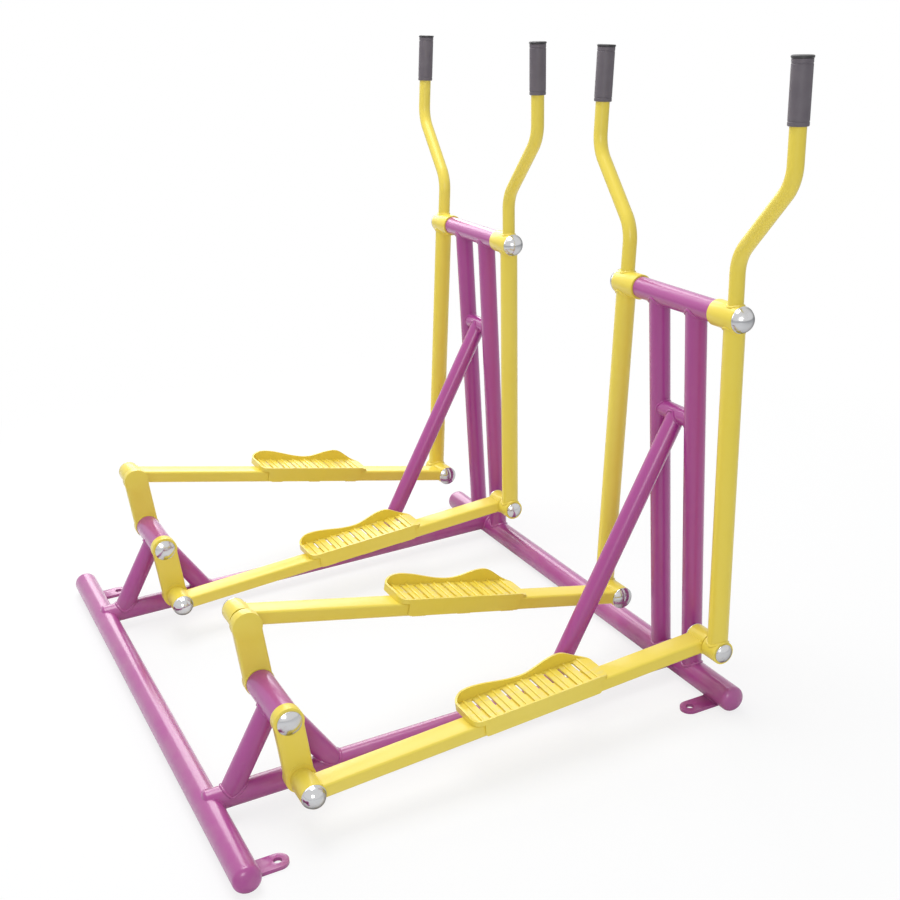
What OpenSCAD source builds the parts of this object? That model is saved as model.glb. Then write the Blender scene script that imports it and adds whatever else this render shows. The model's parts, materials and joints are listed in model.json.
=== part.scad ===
// Double elliptical trainer for a park: two stations on one pair of cross tubes.
// X runs across both stations, +Y is the way the users face, Z is up from the ground.
// The cranks stand upright at rest, with each left pedal at its highest place.

/* [Overall] */
// Distance between the centre lines of the two stations
station_gap = 980; // [900:10:1200]
// Distance between the axes of the rear and front cross tubes
frame_l = 1180; // [1160:10:1420]
// Height of the lever pivots over the ground
pivot_h = 930; // [860:5:980]

/* [Cross tubes] */
// Outer diameter of both cross tubes
cross_d = 60; // [50:1:76]
// Length of the rear cross tube, without its caps
rear_tube_l = 1500; // [1460:10:1800]
// Length of the front cross tube, without its caps
front_tube_l = 1410; // [1360:10:1760]
// Wall of every round steel tube in the frame
tube_wall = 3; // [2:0.5:5]
// How far a domed end cap stands out of its tube
end_cap_h = 20; // [10:1:26]

/* [Anchor ears] */
// Width of an ear and diameter of its round end
ear_w = 46; // [36:1:60]
// Thickness of an ear
ear_t = 8; // [5:1:12]
// Diameter of the anchor bolt hole
ear_hole_d = 18; // [12:0.5:20]
// Distance from the cross tube's axis to the bolt hole
ear_reach = 78; // [66:1:110]
// Distance between the two rear bolt holes
rear_hole_gap = 1400; // [1200:10:1440]
// Distance between the two front bolt holes
front_hole_gap = 1310; // [1200:10:1340]

/* [Stand] */
// Diameter of the two posts
post_d = 48; // [40:1:56]
// Distance between the post axes at the top tube
post_gap_top = 138; // [120:1:160]
// Distance between the post axes at the front cross tube
post_gap_foot = 126; // [110:1:160]
// Diameter of the horizontal top tube
top_tube_d = 50; // [44:1:56]
// Length of the horizontal top tube
top_tube_l = 280; // [240:2:284]
// Diameter of the base beam
beam_d = 50; // [44:1:56]
// Height of the base beam's axis over the ground
beam_h = 44; // [36:1:50]
// Diameter of the slanting brace
brace_d = 44; // [36:1:50]
// Distance from the front cross tube back to the brace's foot
brace_back = 369; // [300:1:420]
// Height of the short bar between the posts that holds the brace
crossbar_h = 663; // [560:1:720]
// Diameter of the short bar between the posts
crossbar_d = 40; // [32:1:46]

/* [Crank] */
// Distance from the front cross tube back to the crank axis
crank_back = 1016; // [1000:1:1040]
// Height of the crank axis over the ground
crank_h = 237; // [225:1:260]
// Distance from the crank axis to each crank pin
crank_r = 136; // [110:1:145]
// Backward lean of the upright crank at rest, in degrees
crank_lean = 5; // [0:1:10]
// Outer diameter of the crank housing
housing_d = 62; // [56:1:68]
// Length of the crank housing
housing_l = 158; // [150:2:180]
// Width of a crank arm and diameter of its round ends
arm_w = 66; // [58:1:72]
// Thickness of a crank arm
arm_t = 24; // [16:1:30]
// Distance from the crank axis back to the rear leg's foot
rear_leg_back = 118; // [100:1:130]
// Distance from the crank axis forward to the front leg's foot
front_leg_ahead = 122; // [100:1:180]
// Diameter of the two legs
leg_d = 48; // [40:1:50]

/* [Pedal bars] */
// Distance between the two pivots of a pedal bar
bar_l = 975; // [960:1:985]
// Width of a pedal bar
bar_w = 56; // [44:1:60]
// Height of a pedal bar
bar_h = 32; // [26:1:46]
// Wall of a pedal bar
bar_wall = 3; // [2:0.5:4]
// Diameter of the pivot eyes on bars and lever feet
eye_d = 54; // [50:1:58]

/* [Pedals] */
// Length of a pedal tray
pedal_l = 340; // [300:5:370]
// Width of a pedal tray
pedal_w = 110; // [104:1:130]
// Distance from the rear pivot of the bar to the pedal tray
pedal_from = 365; // [320:5:400]
// How far the tray's right side hangs down over the side of its bar
skirt_h = 29; // [12:1:30]
// Height of the left rim at its rear hump
rim_rear_h = 32; // [26:1:50]
// Height of the left rim at its lowest, in the middle
rim_mid_h = 15; // [13:1:24]
// Height of the left rim at its front hump
rim_front_h = 35; // [28:1:56]
// Height of the lip along the right side of the tray, over the top of the bar
lip_h = 11; // [9:1:15]
// Wall of the rim and of the tread
rim_wall = 5; // [4:0.5:8]
// Corner radius of the tray seen from above
pedal_corner = 26; // [16:1:34]
// Number of cross slots in the tread
slot_count = 8; // [5:1:9]

/* [Levers] */
// Distance from the upper to the lower pivot of a lever
lever_l = 770; // [755:1:790]
// Diameter of the lower lever tube
lever_d = 46; // [40:1:46]
// Length of the lever foot's eye
foot_l = 46; // [44:1:56]
// Outer diameter of the lever hub at the top tube
hub_d = 58; // [54:1:64]

/* [Handles] */
// Diameter of the bent handle tube
handle_d = 33; // [28:1:38]
// Wall of the handle tube
handle_wall = 2.5; // [2:0.5:4]
// Height over the pivot where the first bend starts
bend_start = 92; // [80:1:120]
// Radius of the two bends, on the tube's axis
bend_r = 90; // [70:1:100]
// Angle of the slanting stretch from upright, in degrees
bend_angle = 43; // [35:1:50]
// How far the grip stands outside the lever
handle_shift = 155; // [130:1:180]
// Height of the grip's top over the pivot
handle_h = 528; // [480:1:600]
// Length of a grip
grip_l = 128; // [100:1:150]
// Diameter of a grip
grip_d = 44; // [40:1:52]

/* [Shafts and bearings] */
// Diameter of the crank axle and of the top shaft
shaft_d = 25; // [20:1:30]
// Diameter of the crank pins and the lever foot pins
pin_d = 20; // [16:1:24]
// Outer diameter of the bearings
bearing_d = 42; // [36:1:44]
// Width of a bearing
bearing_w = 15; // [10:1:20]
// Running clearance of a bearing on its shaft, on the radius
run_gap = 0.05; // [0.02:0.01:0.1]
// Side clearance between parts that turn against each other
side_gap = 2; // [1:0.5:3]
// Height of the domed caps
cap_h = 24; // [18:1:26]
// Height of the flatter caps on the crank hubs and lever feet
hub_cap_h = 12; // [10:1:19]
// Diameter of the caps on the crank hubs
hub_cap_d = 54; // [46:1:57]
// Diameter of the caps on the lever feet
foot_cap_d = 44; // [36:1:50]

/* [Hidden] */
$fn = 64;
STATIONS = ["st1", "st2"];
SIDES = ["left", "right"];
SHARED = ["rear_cross_tube", "front_cross_tube", "tube_end_caps", "anchor_ears", "base_beams",
          "crank_legs", "top_shafts", "frame_bearings"];
MIDDLE = ["posts", "top_tube", "brace", "crank_housing", "crank_axle", "crank_arms", "crank_pins",
          "crank_caps"];
SIDED = ["pedal_bar", "pedal", "bar_bearings", "bar_caps", "lever", "handle", "grip",
         "lever_bearings", "lever_caps"];

PURPLE = [0.60, 0.29, 0.52];
YELLOW = [0.88, 0.77, 0.28];
CHROME = [0.78, 0.78, 0.80];
STEEL = [0.55, 0.56, 0.58];
BLACK = [0.32, 0.31, 0.33];

// Longer than any part, and higher than any pedal
far = 2000;
tall = 200;
// How far a cut or a tube's stretch runs past the face where it ends
lap = 1;
// What a straight stretch of tube is thinner than the bend that it runs into
hair = 0.02;

// The rear tube lies further from the middle than the front one, where the grips lean out
front_shift = 20;
front_y = frame_l / 2 - front_shift;
rear_y = front_y - frame_l;
tube_z = cross_d / 2;
crank_y = front_y - crank_back;
brace_foot = [0, front_y - brace_back, beam_h];
brace_top = [0, front_y, crossbar_h];

// The stack across one station, from its centre line outwards
arm_in = housing_l / 2 + side_gap;
arm_out = arm_in + arm_t;
arm_step = 1.5;
arm_waist = arm_w - 2 * arm_step;
housing_step = 2;
pin_wall = 6;
pin_seat = arm_in + pin_wall;
pin_collar = 6;
bar_in = arm_out + hub_cap_h + 2 * side_gap;
bar_out = bar_in + bar_w;
foot_in = bar_out + side_gap;
lever_x = foot_in + foot_l / 2;
lever_out = foot_in + foot_l;
hub_in = top_tube_l / 2 + side_gap;
shaft_end = 1;
shaft_l = 2 * (lever_out - shaft_end);

// Small sizes of the plugs, the legs' lower ends, the tread's ribs and slots, and the grip's end
plug_l = 12;
plug_edge = 2;
leg_run_out = 0.1;
rib_w = 6;
rib_h = 3;
slot_share = 0.18;
grip_wall = 4;

// The closed chain of crank pin, pedal bar and lever at rest, seen from the side
function pin_yz(up) = [crank_y - up * crank_r * sin(crank_lean), crank_h + up * crank_r * cos(crank_lean)];
function reach(up) = norm(pin_yz(up) - [front_y, pivot_h]);
function pin_slope(up) = atan2(front_y - pin_yz(up)[0], pivot_h - pin_yz(up)[1]);
function corner(up) =
    acos((pow(lever_l, 2) + pow(reach(up), 2) - pow(bar_l, 2)) / (2 * lever_l * reach(up)));
function lever_turn(up) = corner(up) - pin_slope(up);
function foot_yz(up) = [front_y, pivot_h] + lever_l * [sin(lever_turn(up)), -cos(lever_turn(up))];
function bar_pitch(up) = atan2(foot_yz(up)[1] - pin_yz(up)[1], foot_yz(up)[0] - pin_yz(up)[0]);

// The left crank stands up and the right one down; x is mirrored to match
function up_of(side) = side == "left" ? 1 : -1;
function out_of(side) = side == "left" ? -1 : 1;
function station_x(s) = s == "st1" ? station_gap / 2 : -station_gap / 2;

// A round rod between two points
module rod(a, b, r) {
    d = b - a;
    translate(a)
        rotate([0, acos(d[2] / norm(d)), atan2(d[1], d[0])])
            cylinder(r = r, h = norm(d));
}

// A round rod along X at height and depth zero
module x_rod(r, x0, x1) {
    translate([min(x0, x1), 0, 0])
        rotate([0, 90, 0])
            cylinder(r = r, h = abs(x1 - x0));
}

// A ring along X
module x_ring(r_out, r_in, x0, x1) {
    difference() {
        x_rod(r_out, x0, x1);
        x_rod(r_in, min(x0, x1) - lap, max(x0, x1) + lap);
    }
}

// A dome that stands on a flat face and bulges along +X or -X
module x_dome(r, h, x0, dir) {
    ball = (r * r + h * h) / (2 * h);
    intersection() {
        translate([x0 + dir * (h - ball), 0, 0])
            sphere(r = ball);
        x_rod(r, x0, x0 + dir * (h + lap));
    }
}

// The rear and front cross tubes as solid bodies, for cutting what meets them
module cross_tube_space() {
    for (y = [rear_y, front_y])
        translate([0, y, tube_z])
            x_rod(cross_d / 2, -far, far);
}

module cross_tube(y, l) {
    translate([0, y, tube_z])
        x_ring(cross_d / 2, cross_d / 2 - tube_wall, -l / 2, l / 2);
}

module rear_cross_tube() {
    color(PURPLE) cross_tube(rear_y, rear_tube_l);
}

module front_cross_tube() {
    color(PURPLE) cross_tube(front_y, front_tube_l);
}

// Domed plugs that close the four tube ends
module tube_end_caps() {
    color(PURPLE)
        for (t = [[rear_y, rear_tube_l], [front_y, front_tube_l]])
            for (dir = [-1, 1])
                translate([dir * t[1] / 2, t[0], tube_z])
                    rotate([0, dir * 90, 0])
                        end_plug();
}

// One plug along Z: a dome with a straight edge, over a stem that fits in the tube
module end_plug() {
    r = cross_d / 2;
    rise = end_cap_h - plug_edge;
    ball = (r * r + rise * rise) / (2 * rise);
    cylinder(r = r, h = plug_edge);
    intersection() {
        translate([0, 0, end_cap_h - ball])
            sphere(r = ball);
        translate([0, 0, plug_edge])
            cylinder(r = r, h = end_cap_h);
    }
    translate([0, 0, -plug_l])
        cylinder(r = r - tube_wall, h = plug_l);
}

// Welded tabs with one bolt hole each, on the inner side of the cross tubes
module anchor_ears() {
    color(PURPLE)
        difference() {
            for (e = [[rear_y, 1, rear_hole_gap], [front_y, -1, front_hole_gap]])
                for (x = [-e[2] / 2, e[2] / 2])
                    translate([x, e[0], 0])
                        difference() {
                            union() {
                                translate([0, e[1] * ear_reach, 0])
                                    cylinder(d = ear_w, h = ear_t);
                                translate([-ear_w / 2, e[1] > 0 ? 0 : -ear_reach, 0])
                                    cube([ear_w, ear_reach, ear_t]);
                            }
                            translate([0, e[1] * ear_reach, -lap])
                                cylinder(d = ear_hole_d, h = ear_t + 2 * lap);
                            translate([-far / 2, e[1] > 0 ? -far : 0, -lap])
                                cube([far, far, ear_t + 2 * lap]);
                        }
            cross_tube_space();
        }
}

// One long tube under each station, saddled onto both cross tubes
module base_beams() {
    color(PURPLE)
        for (s = STATIONS)
            translate([station_x(s), 0, 0])
                difference() {
                    beam_space(beam_d / 2, 0);
                    beam_space(beam_d / 2 - tube_wall, lap);
                    cross_tube_space();
                }
}

// The base beam and the crank housing as solid bodies, for cutting the legs and brace
module beam_space(r, more) {
    rod([0, rear_y - more, beam_h], [0, front_y + more, beam_h], r);
}

module housing_space() {
    translate([0, crank_y, crank_h])
        x_rod(housing_d / 2, -far, far);
}

module leg(foot_y) {
    foot = [0, foot_y, beam_h];
    axis = [0, crank_y, crank_h];
    difference() {
        rod(foot, axis, leg_d / 2);
        rod(foot + (foot - axis) * leg_run_out, axis, leg_d / 2 - tube_wall);
        beam_space(beam_d / 2, 0);
        housing_space();
    }
}

// A pair of slanting legs carries each crank housing on its base beam
module crank_legs() {
    color(PURPLE)
        for (s = STATIONS)
            translate([station_x(s), 0, 0]) {
                leg(crank_y - rear_leg_back);
                difference() {
                    leg(crank_y + front_leg_ahead);
                    rod([0, crank_y - rear_leg_back, beam_h], [0, crank_y, crank_h], leg_d / 2);
                }
            }
}

// Fixed shafts through the top tubes, on which the levers swing
module top_shafts() {
    color(STEEL)
        for (s = STATIONS)
            translate([station_x(s), front_y, pivot_h])
                x_rod(shaft_d / 2, -shaft_l / 2, shaft_l / 2);
}

// Rings that centre the shafts in the top tubes, and the crank bearings in their housings
module frame_bearings() {
    color(STEEL)
        for (s = STATIONS)
            for (dir = [-1, 1]) {
                translate([station_x(s), front_y, pivot_h])
                    x_ring(top_tube_d / 2 - tube_wall, shaft_d / 2, dir * top_tube_l / 2,
                           dir * (top_tube_l / 2 - bearing_w));
                translate([station_x(s), crank_y, crank_h])
                    x_ring(bearing_d / 2, shaft_d / 2 + run_gap, dir * housing_l / 2,
                           dir * (housing_l / 2 - bearing_w));
            }
}

// Two posts that draw slightly together towards the front cross tube
module posts(s) {
    color(PURPLE)
        translate([station_x(s), 0, 0])
            difference() {
                for (dir = [-1, 1])
                    difference() {
                        post_rod(dir, 0, post_d / 2);
                        post_rod(dir, lap, post_d / 2 - tube_wall);
                    }
                cross_tube_space();
                translate([0, front_y, pivot_h])
                    x_rod(top_tube_d / 2, -far, far);
            }
}

module post_rod(dir, more, r) {
    foot = [dir * post_gap_foot / 2, front_y, tube_z];
    top = [dir * post_gap_top / 2, front_y, pivot_h];
    rod(foot - more * [0, 0, 1], top + more * [0, 0, 1], r);
}

module top_tube(s) {
    color(PURPLE)
        translate([station_x(s), front_y, pivot_h])
            x_ring(top_tube_d / 2, top_tube_d / 2 - tube_wall, -top_tube_l / 2, top_tube_l / 2);
}

// The slanting brace and the short bar between the posts that it is welded to
module brace(s) {
    color(PURPLE)
        translate([station_x(s), 0, 0]) {
            difference() {
                rod(brace_foot, brace_top, brace_d / 2);
                rod(brace_foot, brace_top, brace_d / 2 - tube_wall);
                beam_space(beam_d / 2, 0);
                translate([0, front_y, crossbar_h])
                    x_rod(crossbar_d / 2, -far, far);
                for (dir = [-1, 1])
                    post_rod(dir, 0, post_d / 2);
            }
            difference() {
                translate([0, front_y, crossbar_h])
                    x_ring(crossbar_d / 2, crossbar_d / 2 - tube_wall, -post_gap_top / 2, post_gap_top / 2);
                for (dir = [-1, 1])
                    post_rod(dir, 0, post_d / 2);
            }
        }
}

// The lateral tube that holds both crank bearings
module crank_housing(s) {
    color(PURPLE)
        translate([station_x(s), crank_y, crank_h])
            difference() {
                x_rod(housing_d / 2, -housing_l / 2, housing_l / 2);
                x_rod(bearing_d / 2 - housing_step, -far, far);
                for (dir = [-1, 1])
                    x_rod(bearing_d / 2, dir * housing_l, dir * (housing_l / 2 - bearing_w));
            }
}

module crank_axle(s) {
    color(STEEL)
        translate([station_x(s), crank_y, crank_h])
            x_rod(shaft_d / 2, -arm_out, arm_out);
}

// The centre of the crank pin in the crank's own frame
module at_pin(up) {
    translate([0, -up * crank_r * sin(crank_lean), up * crank_r * cos(crank_lean)])
        children();
}

// One straight arm on each end of the axle, half a turn apart
module crank_arms(s) {
    color(YELLOW)
        translate([station_x(s), crank_y, crank_h])
            for (d = SIDES)
                difference() {
                    translate([out_of(d) > 0 ? arm_in : -arm_out, 0, 0])
                        rotate([crank_lean, 0, 0])
                            rotate([90, 0, 90])
                                linear_extrude(arm_t)
                                    arm_outline(up_of(d) * crank_r);
                    x_rod(shaft_d / 2, -far, far);
                    at_pin(up_of(d))
                        x_rod(pin_d / 2, out_of(d) * pin_seat, out_of(d) * far);
                }
}

// The arm seen from the side: a bar between two round ends that are a little wider
module arm_outline(tip) {
    circle(d = arm_w);
    translate([0, tip])
        circle(d = arm_w);
    translate([-arm_waist / 2, min(0, tip)])
        square([arm_waist, abs(tip)]);
}

// Pins that reach from the arms through the rear eyes of the pedal bars
module crank_pins(s) {
    color(STEEL)
        translate([station_x(s), crank_y, crank_h])
            for (d = SIDES)
                at_pin(up_of(d)) {
                    x_rod(pin_d / 2, out_of(d) * pin_seat, out_of(d) * (bar_out - shaft_end));
                    x_ring(pin_d / 2 + pin_collar, pin_d / 2, out_of(d) * arm_out,
                           out_of(d) * (bar_in - side_gap));
                }
}

// Domed caps over the two ends of the axle
module crank_caps(s) {
    color(CHROME)
        translate([station_x(s), crank_y, crank_h])
            for (dir = [-1, 1])
                x_dome(hub_cap_d / 2, hub_cap_h, dir * arm_out, dir);
}

// The frame of a pedal bar: its rear pivot at the origin, +Y along the bar
module on_bar(s, d) {
    pin = pin_yz(up_of(d));
    translate([station_x(s), pin[0], pin[1]])
        rotate([bar_pitch(up_of(d)), 0, 0])
            children();
}

// A rectangular tube with a round eye at each end
module pedal_bar(s, d) {
    o = out_of(d);
    x_low = min(o * bar_in, o * bar_out);
    color(YELLOW)
        on_bar(s, d)
            difference() {
                union() {
                    difference() {
                        translate([x_low, 0, -bar_h / 2])
                            cube([bar_w, bar_l, bar_h]);
                        translate([x_low + bar_wall, 0, bar_wall - bar_h / 2])
                            cube([bar_w - 2 * bar_wall, bar_l, bar_h - 2 * bar_wall]);
                    }
                    for (y = [0, bar_l])
                        translate([0, y, 0])
                            x_rod(eye_d / 2, o * bar_in, o * bar_out);
                }
                for (y = [0, bar_l])
                    translate([0, y, 0])
                        x_rod(bearing_d / 2, -far, far);
            }
}

// A wavy side outline of the pedal rim, from its rear to its front
function wave(t) = t < 0.12 ? rim_rear_h * (0.55 + 0.45 * sin(90 * t / 0.12))
    : t < 0.5 ? (rim_rear_h + rim_mid_h) / 2 + (rim_rear_h - rim_mid_h) / 2 * cos(180 * (t - 0.12) / 0.38)
    : t < 0.78 ? (rim_mid_h + rim_front_h) / 2 - (rim_front_h - rim_mid_h) / 2 * cos(180 * (t - 0.5) / 0.28)
    : rim_wall + (rim_front_h - rim_wall) * (0.5 + 0.5 * cos(180 * (t - 0.78) / 0.22));

module tray_outline(inset) {
    r = pedal_corner - inset;
    w = pedal_w - 2 * inset;
    l = pedal_l - 2 * inset;
    translate([inset, inset])
        union() {
            translate([r, 0])
                square([w - 2 * r, l]);
            translate([0, r])
                square([w, l - 2 * r]);
            for (x = [r, w - r])
                for (y = [r, l - r])
                    translate([x, y])
                        circle(r = r);
        }
}

// The space under the wavy left rim, which falls to the lip on the right side
module wave_space() {
    steps = 40;
    crest = [for (i = [0:steps]) [pedal_l * i / steps, wave(i / steps)]];
    lip_from = pedal_w - rim_wall - 1;
    intersection() {
        rotate([90, 0, 90])
            linear_extrude(pedal_w)
                polygon(concat([[0, 0]], crest, [[pedal_l, 0]]));
        translate([0, pedal_l + lap, 0])
            rotate([90, 0, 0])
                linear_extrude(pedal_l + 2 * lap)
                    polygon([[0, 0], [0, tall], [pedal_corner, rim_front_h + 1], [lip_from, lip_h],
                             [pedal_w, lip_h], [pedal_w, 0]]);
    }
}

// A foot tray with a slotted, ribbed tread and a wavy rim that is high on its left side.
// Left and right trays are alike: each reaches from its bar to the user's left, and its right
// side hangs down over the right side of the bar.
module pedal(s, d) {
    slot_step = (pedal_l - 2 * pedal_corner) / slot_count;
    slot_w = slot_step * slot_share;
    slot_l = pedal_w - bar_w - 4 * rim_wall;
    rib_l = pedal_w - 2 * rim_wall;
    bar_right = d == "left" ? -bar_in : bar_out;
    tray_x = bar_right + rim_wall - pedal_w;
    color(YELLOW)
        on_bar(s, d)
            translate([tray_x, pedal_from, bar_h / 2]) {
                intersection() {
                    difference() {
                        linear_extrude(tall)
                            tray_outline(0);
                        translate([0, 0, -lap])
                            linear_extrude(tall + 2 * lap)
                                tray_outline(rim_wall);
                    }
                    wave_space();
                }
                difference() {
                    linear_extrude(rim_wall)
                        tray_outline(rim_wall);
                    for (i = [0:slot_count - 1])
                        translate([2 * rim_wall, pedal_corner + (i + 0.5) * slot_step - slot_w / 2, -lap])
                            cube([slot_l, slot_w, rim_wall + 2 * lap]);
                }
                for (i = [0:slot_count])
                    translate([rim_wall, pedal_corner + i * slot_step - rib_w / 2, rim_wall])
                        cube([rib_l, rib_w, rib_h]);
                translate([pedal_w - rim_wall, pedal_corner, -skirt_h])
                    cube([rim_wall, pedal_l - 2 * pedal_corner, skirt_h + lap]);
            }
}

// The bearing of the rear eye on its crank pin, and the bush of the front eye
module bar_bearings(s, d) {
    o = out_of(d);
    color(STEEL)
        on_bar(s, d)
            for (y = [0, bar_l])
                translate([0, y, 0])
                    x_ring(bearing_d / 2, pin_d / 2 + run_gap, o * bar_in, o * bar_out);
}

// Domes over the outer side of the rear eye and the inner side of the front eye
module bar_caps(s, d) {
    o = out_of(d);
    color(CHROME)
        on_bar(s, d) {
            x_dome(eye_d / 2, cap_h, o * bar_out, o);
            translate([0, bar_l, 0])
                x_dome(eye_d / 2, hub_cap_h, o * bar_in, -o);
        }
}

// The frame of a lever: the upper pivot at the origin, the lever's foot straight below
module on_lever(s, d) {
    translate([station_x(s), front_y, pivot_h])
        rotate([lever_turn(up_of(d)), 0, 0])
            children();
}

// The hub on the top shaft, the lower lever tube and the eye at its foot
module lever(s, d) {
    o = out_of(d);
    color(YELLOW)
        on_lever(s, d)
            difference() {
                union() {
                    x_rod(hub_d / 2, o * hub_in, o * lever_out);
                    difference() {
                        translate([o * lever_x, 0, -lever_l])
                            cylinder(r = lever_d / 2, h = lever_l);
                        translate([o * lever_x, 0, -lever_l])
                            cylinder(r = lever_d / 2 - tube_wall, h = lever_l);
                    }
                    translate([0, 0, -lever_l])
                        x_rod(eye_d / 2, o * foot_in, o * lever_out);
                }
                x_rod(bearing_d / 2, -far, far);
                translate([0, 0, -lever_l])
                    x_rod(bearing_d / 2, -far, far);
            }
}

// The handle tube, bent outwards and upright again, with its foot on the lever's hub
module handle(s, d) {
    o = out_of(d);
    color(YELLOW)
        on_lever(s, d)
            difference() {
                translate([o * lever_x, 0, 0])
                    mirror([o < 0 ? 1 : 0, 0, 0])
                        difference() {
                            bent_rod(handle_d / 2, 0);
                            bent_rod(handle_d / 2 - handle_wall, lap);
                        }
                x_rod(hub_d / 2, -far, far);
            }
}

// A solid rod along the handle's line, whose two ends can be drawn longer.
// The straight stretches reach a little way into the bends, thinner by a hair.
module bent_rod(r, more) {
    slant = (handle_shift - 2 * bend_r * (1 - cos(bend_angle))) / sin(bend_angle);
    bend_end = bend_start + 2 * bend_r * sin(bend_angle) + slant * cos(bend_angle);
    translate([0, 0, -more])
        cylinder(r = r - hair, h = bend_start + more + lap);
    translate([0, 0, bend_start])
        bend(r);
    translate([bend_r * (1 - cos(bend_angle)), 0, bend_start + bend_r * sin(bend_angle)])
        rotate([0, bend_angle, 0])
            translate([0, 0, -lap])
                cylinder(r = r - hair, h = slant + 2 * lap);
    translate([handle_shift, 0, bend_end])
        rotate([180, 0, 180])
            bend(r);
    translate([handle_shift, 0, bend_end - lap])
        cylinder(r = r - hair, h = handle_h - grip_wall - bend_end + more + lap);
}

// An arc of rod that starts upright at the origin and leans towards +X
module bend(r) {
    translate([bend_r, 0, 0])
        rotate([90, 0, 180])
            rotate_extrude(angle = bend_angle)
                translate([bend_r, 0])
                    circle(r = r);
}

// A soft sleeve closed over the end of the handle tube
module grip(s, d) {
    o = out_of(d);
    color(BLACK)
        on_lever(s, d)
            translate([o * (lever_x + handle_shift), 0, handle_h - grip_l])
                difference() {
                    cylinder(d = grip_d, h = grip_l);
                    translate([0, 0, -lap])
                        cylinder(d = handle_d, h = grip_l - grip_wall + lap);
                }
}

// Two bearings in the hub, and the pin in the eye at the lever's foot
module lever_bearings(s, d) {
    o = out_of(d);
    color(STEEL)
        on_lever(s, d) {
            x_ring(bearing_d / 2, shaft_d / 2 + run_gap, o * hub_in, o * (hub_in + bearing_w));
            x_ring(bearing_d / 2, shaft_d / 2 + run_gap, o * (lever_out - bearing_w), o * lever_out);
            translate([0, 0, -lever_l])
                x_rod(bearing_d / 2, o * foot_in, o * lever_out);
        }
}

// Domes over the outer ends of the hub and of the lever's foot
module lever_caps(s, d) {
    o = out_of(d);
    color(CHROME)
        on_lever(s, d) {
            x_dome(hub_d / 2, cap_h, o * lever_out, o);
            translate([0, 0, -lever_l])
                x_dome(foot_cap_d / 2, hub_cap_h, o * lever_out, o);
        }
}

rear_cross_tube();
front_cross_tube();
tube_end_caps();
anchor_ears();
base_beams();
crank_legs();
top_shafts();
frame_bearings();
for (s = STATIONS) {
    posts(s);
    top_tube(s);
    brace(s);
    crank_housing(s);
    crank_axle(s);
    crank_arms(s);
    crank_pins(s);
    crank_caps(s);
    for (d = SIDES) {
        pedal_bar(s, d);
        pedal(s, d);
        bar_bearings(s, d);
        bar_caps(s, d);
        lever(s, d);
        handle(s, d);
        grip(s, d);
        lever_bearings(s, d);
        lever_caps(s, d);
    }
}
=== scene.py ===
import json
import math

import bpy
from mathutils import Matrix, Quaternion, Vector


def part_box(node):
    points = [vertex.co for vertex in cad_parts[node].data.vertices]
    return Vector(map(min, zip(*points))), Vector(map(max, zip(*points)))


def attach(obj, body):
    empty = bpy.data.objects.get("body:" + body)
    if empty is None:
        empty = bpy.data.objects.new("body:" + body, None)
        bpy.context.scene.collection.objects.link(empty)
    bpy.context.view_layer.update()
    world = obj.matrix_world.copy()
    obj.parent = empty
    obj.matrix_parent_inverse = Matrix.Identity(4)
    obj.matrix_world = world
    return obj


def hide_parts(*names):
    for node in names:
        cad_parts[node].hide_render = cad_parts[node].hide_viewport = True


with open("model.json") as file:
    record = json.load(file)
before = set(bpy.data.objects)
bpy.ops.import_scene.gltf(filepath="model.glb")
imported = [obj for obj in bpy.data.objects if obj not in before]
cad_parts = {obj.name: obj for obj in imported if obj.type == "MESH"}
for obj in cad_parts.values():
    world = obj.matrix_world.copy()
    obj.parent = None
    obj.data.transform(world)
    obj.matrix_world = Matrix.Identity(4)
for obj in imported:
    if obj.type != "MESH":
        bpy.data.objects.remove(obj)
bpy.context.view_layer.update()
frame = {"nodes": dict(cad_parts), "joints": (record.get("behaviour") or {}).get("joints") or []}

bpy.ops.object.select_all(action="DESELECT")

# The camera stands behind and to the right of the nearer station, at about eye height.
# It looks forward and down over both stations.
camera_turn = math.radians(65.0)
camera_tilt = math.radians(20.4)
camera_roll = math.radians(-3.4)
camera_distance, camera_lens, camera_reach = 3.526, 52.3, 200
camera_aim = Vector((-0.181, 0.308, 0.4225))
camera_back = Vector((
    math.sin(camera_turn) * math.cos(camera_tilt),
    -math.cos(camera_turn) * math.cos(camera_tilt),
    math.sin(camera_tilt),
))
bpy.ops.object.camera_add(location=camera_aim + camera_back * camera_distance)
camera = bpy.context.object
camera.name = "photo_camera"
camera.data.lens = camera_lens
camera.data.clip_end = camera_reach
camera.rotation_mode = "QUATERNION"
look = (-camera_back).to_track_quat("-Z", "Y")
camera.rotation_quaternion = look @ Quaternion((0, 0, 1), camera_roll)
bpy.context.scene.camera = camera
bpy.context.scene.view_settings.view_transform = "Standard"


# The studio is a large pale floor that fades into a white surround. One wide lamp hangs overhead,
# one stands on the far side, for the pale streaks along the tubes, and a weaker one stands near.
sheet_columns, node_width, node_height = 8, 200, 380


def new_material(name, color, metallic, roughness):
    """A Principled material, and its shader."""
    material = bpy.data.materials.new(name)
    material.use_nodes = True
    shader = material.node_tree.nodes["Principled BSDF"]
    shader.inputs["Base Color"].default_value = (*color, 1)
    shader.inputs["Metallic"].default_value = metallic
    shader.inputs["Roughness"].default_value = roughness
    return material, shader


def node_after(tree, kind, **settings):
    """A shader node with its settings, laid on the sheet beside the one made before it."""
    node = tree.nodes.new(kind)
    row, column = divmod(len(tree.nodes), sheet_columns)
    node.location = (column * node_width, -row * node_height)
    for key, value in settings.items():
        setattr(node, key, value)
    return node


def feed(group, value, socket):
    """Set a socket to a plain value, or link it to another node's output."""
    if isinstance(value, (int, float, tuple)):
        socket.default_value = value
    else:
        group.links.new(value, socket)


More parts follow.
